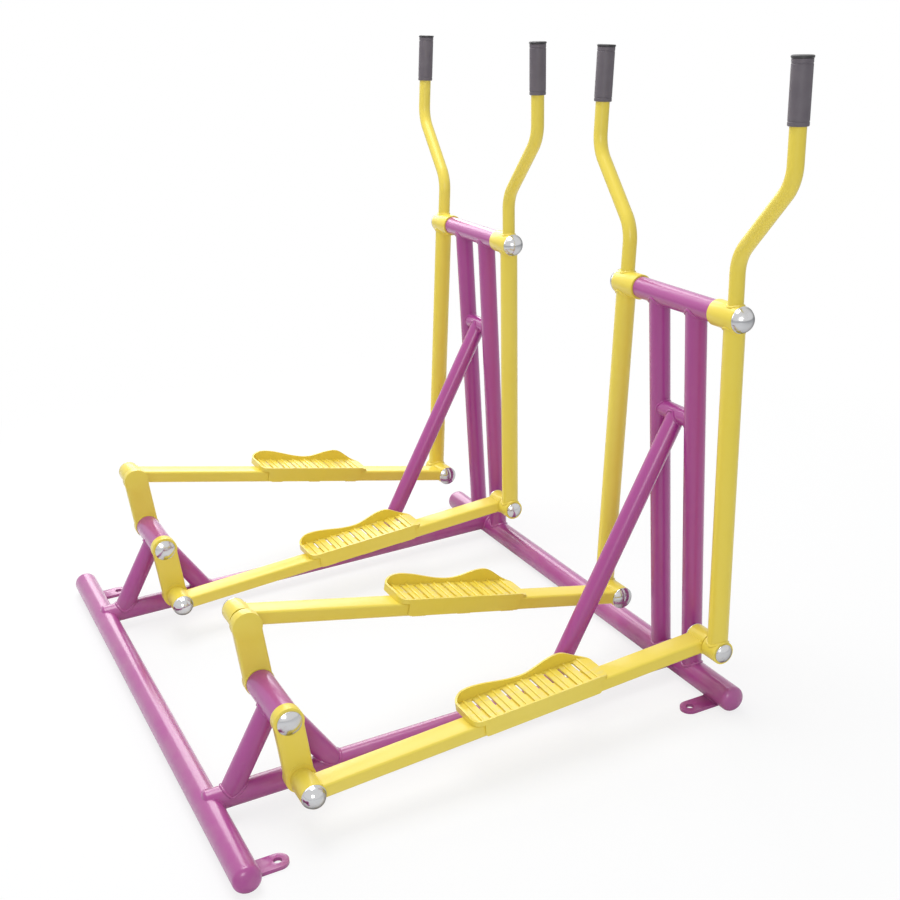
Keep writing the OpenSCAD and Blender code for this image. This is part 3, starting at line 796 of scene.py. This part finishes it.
for station in STATIONS:
    place = Matrix.Translation(joints[f"{station}_right_bar_turn"])
    finish_piece(f"{station}_right_pin_collar", [placed_copy(collar, place)], yellow_paint,
                 "yellow_paint", f"{station}_crank")
bpy.data.objects.remove(collar)

# A pedal bar is a rectangular steel tube with rounded corners, welded at both ends to a round
# eye that holds a bearing.
eye_radius, bearing_radius = 0.027, 0.021
bar_height, bar_corner, bar_inset = 0.032, 0.0055, 0.0004
bar_bead, bar_bead_steps, bar_bead_inset = 0.0022, 10, 0.003


def ring_middle(points):
    """The y and z of the middle of a ring of points."""
    ys, zs = [point.y for point in points], [point.z for point in points]
    return (min(ys) + max(ys)) / 2, (min(zs) + max(zs)) / 2


def side_ends(station, side):
    """The rear pin, the front eye and the upward turn of a pedal bar."""
    rings = [v.co for v in frame["nodes"][f"{station}_{side}_bar_bearings"].data.vertices]
    split = sum((v.y for v in rings), 0.0) / len(rings)
    pin = joints[f"{station}_{side}_bar_turn"]
    eye = Vector((pin.x, *ring_middle([v for v in rings if v.y > split])))
    return pin, eye, math.atan2(eye.z - pin.z, eye.y - pin.y)


pin_at, eye_at, _ = side_ends("st1", "right")
bar_length = (eye_at - pin_at).length
bar_low = (bar_in + bar_inset, 0, -bar_height / 2)
bar_high = (bar_out - bar_inset, bar_length, bar_height / 2)
bar = block(bar_low, bar_high, bar_corner)
for eye_y in (0, bar_length):
    combine(bar, rod((bar_in, eye_y, 0), (bar_out, eye_y, 0), eye_radius))
for eye_y in (0, bar_length):
    combine(bar, rod((bar_in - cut_past, eye_y, 0), (bar_out + cut_past, eye_y, 0), bearing_radius),
            "DIFFERENCE")
round_edges(bar, plate_rounding)
eye_run = math.sqrt(eye_radius ** 2 - (bar_height / 2) ** 2)
from_x, to_x = bar_in + bar_bead_inset, bar_out - bar_bead_inset
bar_beads = [
    straight_bead((from_x, seam_y, seam_z), (to_x, seam_y, seam_z), bar_bead_steps, bar_bead)
    for seam_y in (eye_run, bar_length - eye_run) for seam_z in (-bar_height / 2, bar_height / 2)
]
bar = one_piece("bar_master", [bar, *bar_beads])
for station in STATIONS:
    for side in SIDES:
        pin_at, _, pitch = side_ends(station, side)
        place = Matrix.Translation(pin_at) @ Matrix.Rotation(pitch, 4, "X") @ mirrored(side)
        finish_piece(f"{station}_{side}_welded_pedal_bar", [placed_copy(bar, place)], yellow_paint,
                     "yellow_paint", f"{station}_{side}_bar", f"{station}_{side}_pedal_bar")
        repaint(f"{station}_{side}_bar_bearings", steel)
        repaint(f"{station}_{side}_lever_bearings", steel)
bpy.data.objects.remove(bar)
for node in ("top_shafts", "frame_bearings"):
    repaint(node, steel)

# The foot trays are pressed from thick steel sheet. The rim is high and wavy along the left side
# and falls to a low lip on the right, where a skirt hangs down over the side of the pedal bar. The
# tread has cross slots and low ribs. Short stitches of weld hold the tray to its bar.
trodden_scuffs = 0.45
tray_paint = painted_steel("trodden_yellow_paint", yellow, faded_yellow, yellow_dust, yellow_gloss,
                           trodden_scuffs)
tray_length, tray_width, tray_corner = 0.340, 0.110, 0.026
tray_from = 0.365
skirt_top, skirt_drop, skirt_corner, skirt_inset = 0.0055, 0.029, 0.006, 0.0002
rim_wall, lip_play = 0.005, 0.001
rim_rear, rim_middle, rim_front, lip_height = 0.032, 0.015, 0.035, 0.011
rear_crest, dip_at, front_crest, rear_end_share = 0.12, 0.5, 0.78, 0.55
blank_height, blank_middle, tray_rounding = 0.03, 0.02, 0.0011
corner_steps, length_cuts, width_cuts, least_straight = 10, 45, 11, 0.05
rib_width, rib_height, rib_corner, rib_sink = 0.006, 0.003, 0.002, 0.001
slot_count, slot_share, slot_flat = 8, 0.18, 0.0004


def rim_height(share):
    """Height of the wavy left rim, from the rear of the tray (0) to its front (1)."""
    if share < rear_crest:
        rise = math.sin(math.pi / 2 * share / rear_crest)
        return rim_rear * (rear_end_share + (1 - rear_end_share) * rise)
    if share < dip_at:
        swing = math.cos(math.pi * (share - rear_crest) / (dip_at - rear_crest))
        return (rim_rear + rim_middle) / 2 + (rim_rear - rim_middle) / 2 * swing
    if share < front_crest:
        swing = math.cos(math.pi * (share - dip_at) / (front_crest - dip_at))
        return (rim_middle + rim_front) / 2 - (rim_front - rim_middle) / 2 * swing
    swing = math.cos(math.pi * (share - front_crest) / (1 - front_crest))
    return rim_wall + (rim_front - rim_wall) * (0.5 + 0.5 * swing)


def side_fall(x):
    """Height left for the rim at a distance from the tray's left side."""
    lip_from = tray_width - rim_wall - lip_play
    if x < tray_corner:
        return 1.0
    if x > lip_from:
        return lip_height
    share = (x - tray_corner) / (lip_from - tray_corner)
    return (rim_front + lip_play) * (1 - share) + lip_height * share


def pressed_tray():
    """The tray with its rim, its left rear corner at the origin and its underside on z = 0."""
    bpy.ops.mesh.primitive_plane_add(size=1, location=(tray_width / 2, tray_length / 2, 0))
    tray = bpy.context.object
    tray.scale = (tray_width, tray_length, 1)
    bpy.ops.object.transform_apply(location=True, scale=True)
    edit_all()
    bpy.ops.mesh.bevel(offset=tray_corner, segments=corner_steps, affect="VERTICES")
    for along, cuts in ((1, length_cuts), (0, width_cuts)):
        select_edges(tray, along, shortest=least_straight)
        bpy.ops.mesh.subdivide(number_cuts=cuts)
    bpy.ops.mesh.select_mode(type="FACE")
    bpy.ops.mesh.select_all(action="SELECT")
    extrude_by((0, 0, blank_height))
    bpy.ops.object.mode_set(mode="OBJECT")
    select_faces(tray, lambda face: face.center.z > blank_middle and abs(face.normal.z) > aligned)
    bpy.ops.mesh.delete(type="ONLY_FACE")
    bpy.ops.object.mode_set(mode="OBJECT")
    for point in tray.data.vertices:
        if point.co.z > blank_middle:
            point.co.z = min(rim_height(point.co.y / tray_length), side_fall(point.co.x))
    edit_all()
    bpy.ops.mesh.normals_make_consistent(inside=False)
    bpy.ops.object.mode_set(mode="OBJECT")
    floor_face = max(tray.data.polygons, key=lambda face: face.area)
    if floor_face.normal.z > 0:
        tray.data.flip_normals()
    apply_modifier(tray, "SOLIDIFY", thickness=rim_wall, offset=-1.0, use_even_offset=True,
                   use_quality_normals=True)
    return tray


def slotted_tray():
    """A tray with its skirt, its slots cut and its ribs welded on."""
    tray = pressed_tray()
    skirt_low = (tray_width - rim_wall + skirt_inset, tray_corner, -skirt_drop)
    skirt_high = (tray_width - skirt_inset, tray_length - tray_corner, skirt_top)
    combine(tray, block(skirt_low, skirt_high, skirt_corner, along=0))
    slot_step = (tray_length - 2 * tray_corner) / slot_count
    slot_width = slot_step * slot_share
    for number in range(slot_count):
        slot_y = tray_corner + (number + 0.5) * slot_step
        slot_low = (2 * rim_wall, slot_y - slot_width / 2, -cut_past)
        slot_high = (tray_width - 2 * rim_wall, slot_y + slot_width / 2, cut_past)
        cutter = block(slot_low, slot_high, slot_width / 2 - slot_flat, segments=6, along=2)
        combine(tray, cutter, "DIFFERENCE")
    for number in range(slot_count + 1):
        rib_y = tray_corner + number * slot_step
        rib_low = (rim_wall - rib_sink, rib_y - rib_width / 2, rim_wall - rib_sink)
        rib_high = (tray_width - rim_wall + rib_sink, rib_y + rib_width / 2, rim_wall + rib_height)
        combine(tray, block(rib_low, rib_high, rib_corner, along=0))
    round_edges(tray, tray_rounding, angle=35)
    edit_all()
    bpy.ops.mesh.remove_doubles(threshold=2 * merge_gap)
    bpy.ops.mesh.dissolve_degenerate(threshold=merge_gap)
    bpy.ops.object.mode_set(mode="OBJECT")
    return tray


tray = slotted_tray()
stitch_radius, stitch_half, stitch_steps, stitch_sink = 0.0024, 0.016, 14, 0.0006
stitch_shares = (0.16, 0.5, 0.84)
for station in STATIONS:
    for side in SIDES:
        pin_at, _, pitch = side_ends(station, side)
        on_bar = Matrix.Translation(pin_at) @ Matrix.Rotation(pitch, 4, "X")
        bar_right = bar_out if side == "right" else -bar_in
        bar_left = bar_right - (bar_out - bar_in)
        tray_at = Vector((bar_right + rim_wall - tray_width, tray_from, bar_height / 2))
        shapes = [placed_copy(tray, on_bar @ Matrix.Translation(tray_at))]
        seams = ((bar_right, bar_height / 2 - skirt_drop), (bar_left, bar_height / 2))
        for seam_x, seam_z in seams:
            for share in stitch_shares:
                stitch_y = tray_from + share * tray_length
                start, end = (on_bar @ Vector((seam_x, stitch_y + half, seam_z - stitch_sink))
                              for half in (-stitch_half, stitch_half))
                shapes.append(straight_bead(start, end, stitch_steps, stitch_radius))
        finish_piece(f"{station}_{side}_foot_tray", shapes, tray_paint, "yellow_paint",
                     f"{station}_{side}_bar", f"{station}_{side}_pedal")
bpy.data.objects.remove(tray)

# Each lever is a round tube between a hub on the top shaft and an eye at its foot. Both are
# turned rings, welded to the tube all round.
lever_length, lever_radius, hub_radius = 0.770, 0.023, 0.029
foot_width, ring_rounding = 0.046, 0.0015
hub_in, lever_out = (corner.x - st1_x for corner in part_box("st1_right_lever"))
foot_in, lever_x = lever_out - foot_width, lever_out - foot_width / 2
lever = rod((lever_x, 0, -lever_length), (lever_x, 0, 0), lever_radius)
hub = rod((hub_in, 0, 0), (lever_out, 0, 0), hub_radius)
round_edges(hub, ring_rounding)
foot = rod((foot_in, 0, -lever_length), (lever_out, 0, -lever_length), eye_radius)
round_edges(foot, ring_rounding)
for ring, ring_z, ring_in in ((hub, 0, hub_in), (foot, -lever_length, foot_in)):
    drilled(combine(lever, ring), ring_in, lever_out, ring_z, bearing_radius)
hub_axis = Vector((lever_x, 0, 0))
foot_axis = Vector((lever_x, 0, -lever_length))
lever_beads = [
    saddle_bead(hub_axis, foot_axis, lever_radius, hub_axis, across, hub_radius),
    saddle_bead(foot_axis, hub_axis, lever_radius, foot_axis, across, eye_radius, lever_bead),
]
lever = one_piece("lever_master", [lever, *lever_beads])


def lever_place(station, side):
    """Where a lever stands at rest, with its outer side turned outwards."""
    foot_rings = [v.co for v in frame["nodes"][f"{station}_{side}_lever_bearings"].data.vertices]
    top_at = joints[f"{station}_{side}_lever_swing"]
    foot_y, foot_z = ring_middle([v for v in foot_rings if v.z < top_at.z - lever_length / 2])
    swing = math.atan2(foot_y - top_at.y, top_at.z - foot_z)
    return Matrix.Translation(top_at) @ Matrix.Rotation(swing, 4, "X") @ mirrored(side)


for station in STATIONS:
    for side in SIDES:
        shape = placed_copy(lever, lever_place(station, side))
        finish_piece(f"{station}_{side}_welded_lever", [shape], yellow_paint, "yellow_paint",
                     f"{station}_{side}_lever_body", f"{station}_{side}_lever")
bpy.data.objects.remove(lever)

# The handles are bent from one length of tube each: up from the hub, outwards in a slow curve and
# upright again. They are drawn over a former, so the tube keeps its round section in the bends.
handle_radius, handle_top, handle_sides = 0.0165, 0.528, 48
bend_start, bend_radius, bend_turn = 0.092, 0.090, math.radians(43)
handle_shift, seat_depth, bend_steps, button_gap = 0.155, 0.004, 18, 0.0005
slant = (handle_shift - 2 * bend_radius * (1 - math.cos(bend_turn))) / math.sin(bend_turn)
grip_length, grip_radius, grip_cap = 0.128, 0.022, 0.004
bpy.ops.mesh.primitive_circle_add(vertices=handle_sides, radius=handle_radius, fill_type="NGON",
                                  location=(lever_x, 0, hub_radius - seat_depth))
handle = bpy.context.object
bpy.ops.object.transform_apply(location=True)
edit_all()
first_run = bend_start - hub_radius + seat_depth
extrude_by((0, 0, first_run))
bend_centre = Vector((lever_x + bend_radius, 0, bend_start))
bpy.ops.mesh.spin(steps=bend_steps, angle=-bend_turn, center=bend_centre, axis=(0, 1, 0))
slant_step = Vector((math.sin(bend_turn), 0, math.cos(bend_turn))) * slant
extrude_by(slant_step)
straight_x = lever_x + handle_shift
upper_bend_z = bend_start + 2 * bend_radius * math.sin(bend_turn) + slant * math.cos(bend_turn)
bend_centre = Vector((straight_x - bend_radius, 0, upper_bend_z))
bpy.ops.mesh.spin(steps=bend_steps, angle=bend_turn, center=bend_centre, axis=(0, 1, 0))
top_run = handle_top - grip_cap - button_gap - upper_bend_z
extrude_by((0, 0, top_run))
bpy.ops.mesh.select_all(action="SELECT")
bpy.ops.mesh.remove_doubles(threshold=merge_gap)
bpy.ops.mesh.normals_make_consistent(inside=False)
bpy.ops.object.mode_set(mode="OBJECT")
handle_seat = Vector((lever_x, 0, 0))
handle_bead = saddle_bead(handle_seat, (lever_x, 0, handle_top), handle_radius, handle_seat, across,
                          hub_radius, lever_bead)
handle = one_piece("handle_master", [handle, handle_bead])

# The grips are thick smooth rubber sleeves, drawn over the handle ends. A flat button of harder
# black plastic closes each at the top and stands out a little all round.
grip_rubber, _ = surface_finish("grip_rubber", rubber, (0.115, 0.098, 0.115), 0.0, 0.46, {
    "Bloom Color": (0.165, 0.145, 0.160), "Bloom": 0.5, "Grain Depth": 0.5,
})
button_plastic, _ = surface_finish("button_plastic", rubber, (0.030, 0.029, 0.031), 0.0, 0.38, {
    "Bloom Color": (0.06, 0.058, 0.06), "Bloom": 0.4, "Grain Depth": 0.2,
})

button_height, button_overhang, button_flat = 0.0055, 0.0012, 0.012
groove_in, groove_flat, lower_groove, upper_groove = 0.0007, 0.0012, 0.0075, 0.0104
sleeve_play = 0.0001
grip_foot, grip_shoulder = ((0, 0.0012), (0.0008, 0.0002), (0.0020, 0)), ((0.0008, 0), (0, 0.0008))
button_foot = ((sleeve_play, 0.0012), (0.0010, 0))
button_crown = ((0.0014, 0), (0.0005, 0.0006), (0, 0.0022))
grip_body = grip_radius - button_overhang
grip_from = handle_top - grip_length
button_from = handle_top - button_height


def rounded_end(z, sign, radius, offsets):
    """The profile of a rounded end: how far each point is from the end, and how far it lies in."""
    return [(z + sign * along, radius - inward) for along, inward in offsets]


def ring_groove(z):
    """The profile of a narrow groove round the grip, from a height upwards."""
    floor_from, floor_to = z + groove_in, z + groove_in + groove_flat
    return [(z, grip_body), (floor_from, grip_body - groove_in),
            (floor_to, grip_body - groove_in), (floor_to + groove_in, grip_body)]


grip = turned([
    *rounded_end(grip_from, 1, grip_body, grip_foot),
    *ring_groove(grip_from + lower_groove), *ring_groove(button_from - upper_groove),
    *rounded_end(button_from, -1, grip_body, grip_shoulder),
])
button = turned([
    *rounded_end(button_from, 1, grip_radius, button_foot),
    *rounded_end(handle_top, -1, grip_radius, button_crown), (handle_top + merge_gap, button_flat),
])
grip_bore = handle_radius + sleeve_play
for shape, shape_from in ((grip, grip_from), (button, button_from)):
    hollow = rod((0, 0, shape_from - cut_past), (0, 0, handle_top - grip_cap), grip_bore)
    combine(shape, hollow, "DIFFERENCE")
    shape.data.transform(Matrix.Translation((straight_x, 0, 0)))
for station in STATIONS:
    for side in SIDES:
        place = lever_place(station, side)
        body = f"{station}_{side}_lever_body"
        finish_piece(f"{station}_{side}_bent_handle", [placed_copy(handle, place)], yellow_paint,
                     "yellow_paint", body, f"{station}_{side}_handle")
        finish_piece(f"{station}_{side}_rubber_grip", [placed_copy(grip, place)], grip_rubber,
                     "grip_rubber", body, f"{station}_{side}_grip")
        finish_piece(f"{station}_{side}_grip_button", [placed_copy(button, place)], button_plastic,
                     "grip_rubber", body)
for shape in (handle, grip, button):
    bpy.data.objects.remove(shape)

# Polished steel domes close every pivot against rain. Each has a rolled rim that sits on the
# painted ring round it, and it is pressed on over the end of its shaft or pin.
chrome, chrome_shader = surface_finish("polished_chrome", metal, (0.60, 0.60, 0.61), 1.0, 0.12, {
    "Stain Color": (0.40, 0.36, 0.31), "Stain": 0.25, "Smudge": 0.14, "Mark Depth": 0.05,
})
# The dark specular tint is painted shade: it darkens the reflections on the domes towards their
# rims.
chrome_shader.inputs["Specular Tint"].default_value = (0.25, 0.24, 0.23, 1)
dome_from, rim_step = 0.0040, 0.0016
rolled_rim = (
    (0, 0.0012), (0.0006, 0.0003), (0.00132, 0),
    (0.0022, 0.0003), (0.0029, 0.0012), (0.0033, 0.0022),
)
top_angle, dome_steps = math.radians(88), 14


def chrome_dome(radius, height):
    """A pressed dome with a rolled rim, from z = 0 up to its height."""
    shoulder, rise = radius - rim_step, height - dome_from
    ball = (shoulder ** 2 + rise ** 2) / (2 * rise)
    centre = height - ball
    low_angle = math.atan2(dome_from - centre, shoulder)
    profile = rounded_end(0, 1, radius, rolled_rim)
    for step in range(dome_steps + 1):
        angle = low_angle + (top_angle - low_angle) * step / dome_steps
        profile.append((centre + ball * math.sin(angle), ball * math.cos(angle)))
    return turned(profile, dome_sides)


cap_high, cap_low = 0.024, 0.012
hub_cap_radius, foot_cap_radius = 0.027, 0.022
hub_cap = chrome_dome(hub_cap_radius, cap_low)
bar_cap = chrome_dome(eye_radius, cap_high)
lever_cap = chrome_dome(hub_radius, cap_high)
foot_cap = chrome_dome(foot_cap_radius, cap_low)
for station in STATIONS:
    crank_at = Matrix.Translation(joints[f"{station}_crank_turn"])
    on_arm = Matrix.Translation((0, 0, arm_out))
    caps = [placed_copy(hub_cap, crank_at @ facing(sign) @ on_arm) for sign in (-1, 1)]
    finish_piece(f"{station}_crank_domes", caps, chrome, "polished_caps", f"{station}_crank",
                 f"{station}_crank_caps")
    for side in SIDES:
        outward = OUTWARD[side]
        pin_at, eye_at, _ = side_ends(station, side)
        outer = facing(outward) @ Matrix.Translation((0, 0, bar_out))
        inner = facing(-outward) @ Matrix.Translation((0, 0, -bar_in))
        caps = [placed_copy(bar_cap, Matrix.Translation(pin_at) @ outer),
                placed_copy(hub_cap, Matrix.Translation(eye_at) @ inner)]
        finish_piece(f"{station}_{side}_bar_domes", caps, chrome, "polished_caps",
                     f"{station}_{side}_bar", f"{station}_{side}_bar_caps")
        place = lever_place(station, side)
        caps = []
        for cap, cap_z in ((lever_cap, 0), (foot_cap, -lever_length)):
            at_end = Matrix.Translation((lever_out, 0, cap_z)) @ facing(1)
            caps.append(placed_copy(cap, place @ at_end))
        finish_piece(f"{station}_{side}_lever_domes", caps, chrome, "polished_caps",
                     f"{station}_{side}_lever_body", f"{station}_{side}_lever_caps")
for cap in (hub_cap, bar_cap, lever_cap, foot_cap):
    bpy.data.objects.remove(cap)
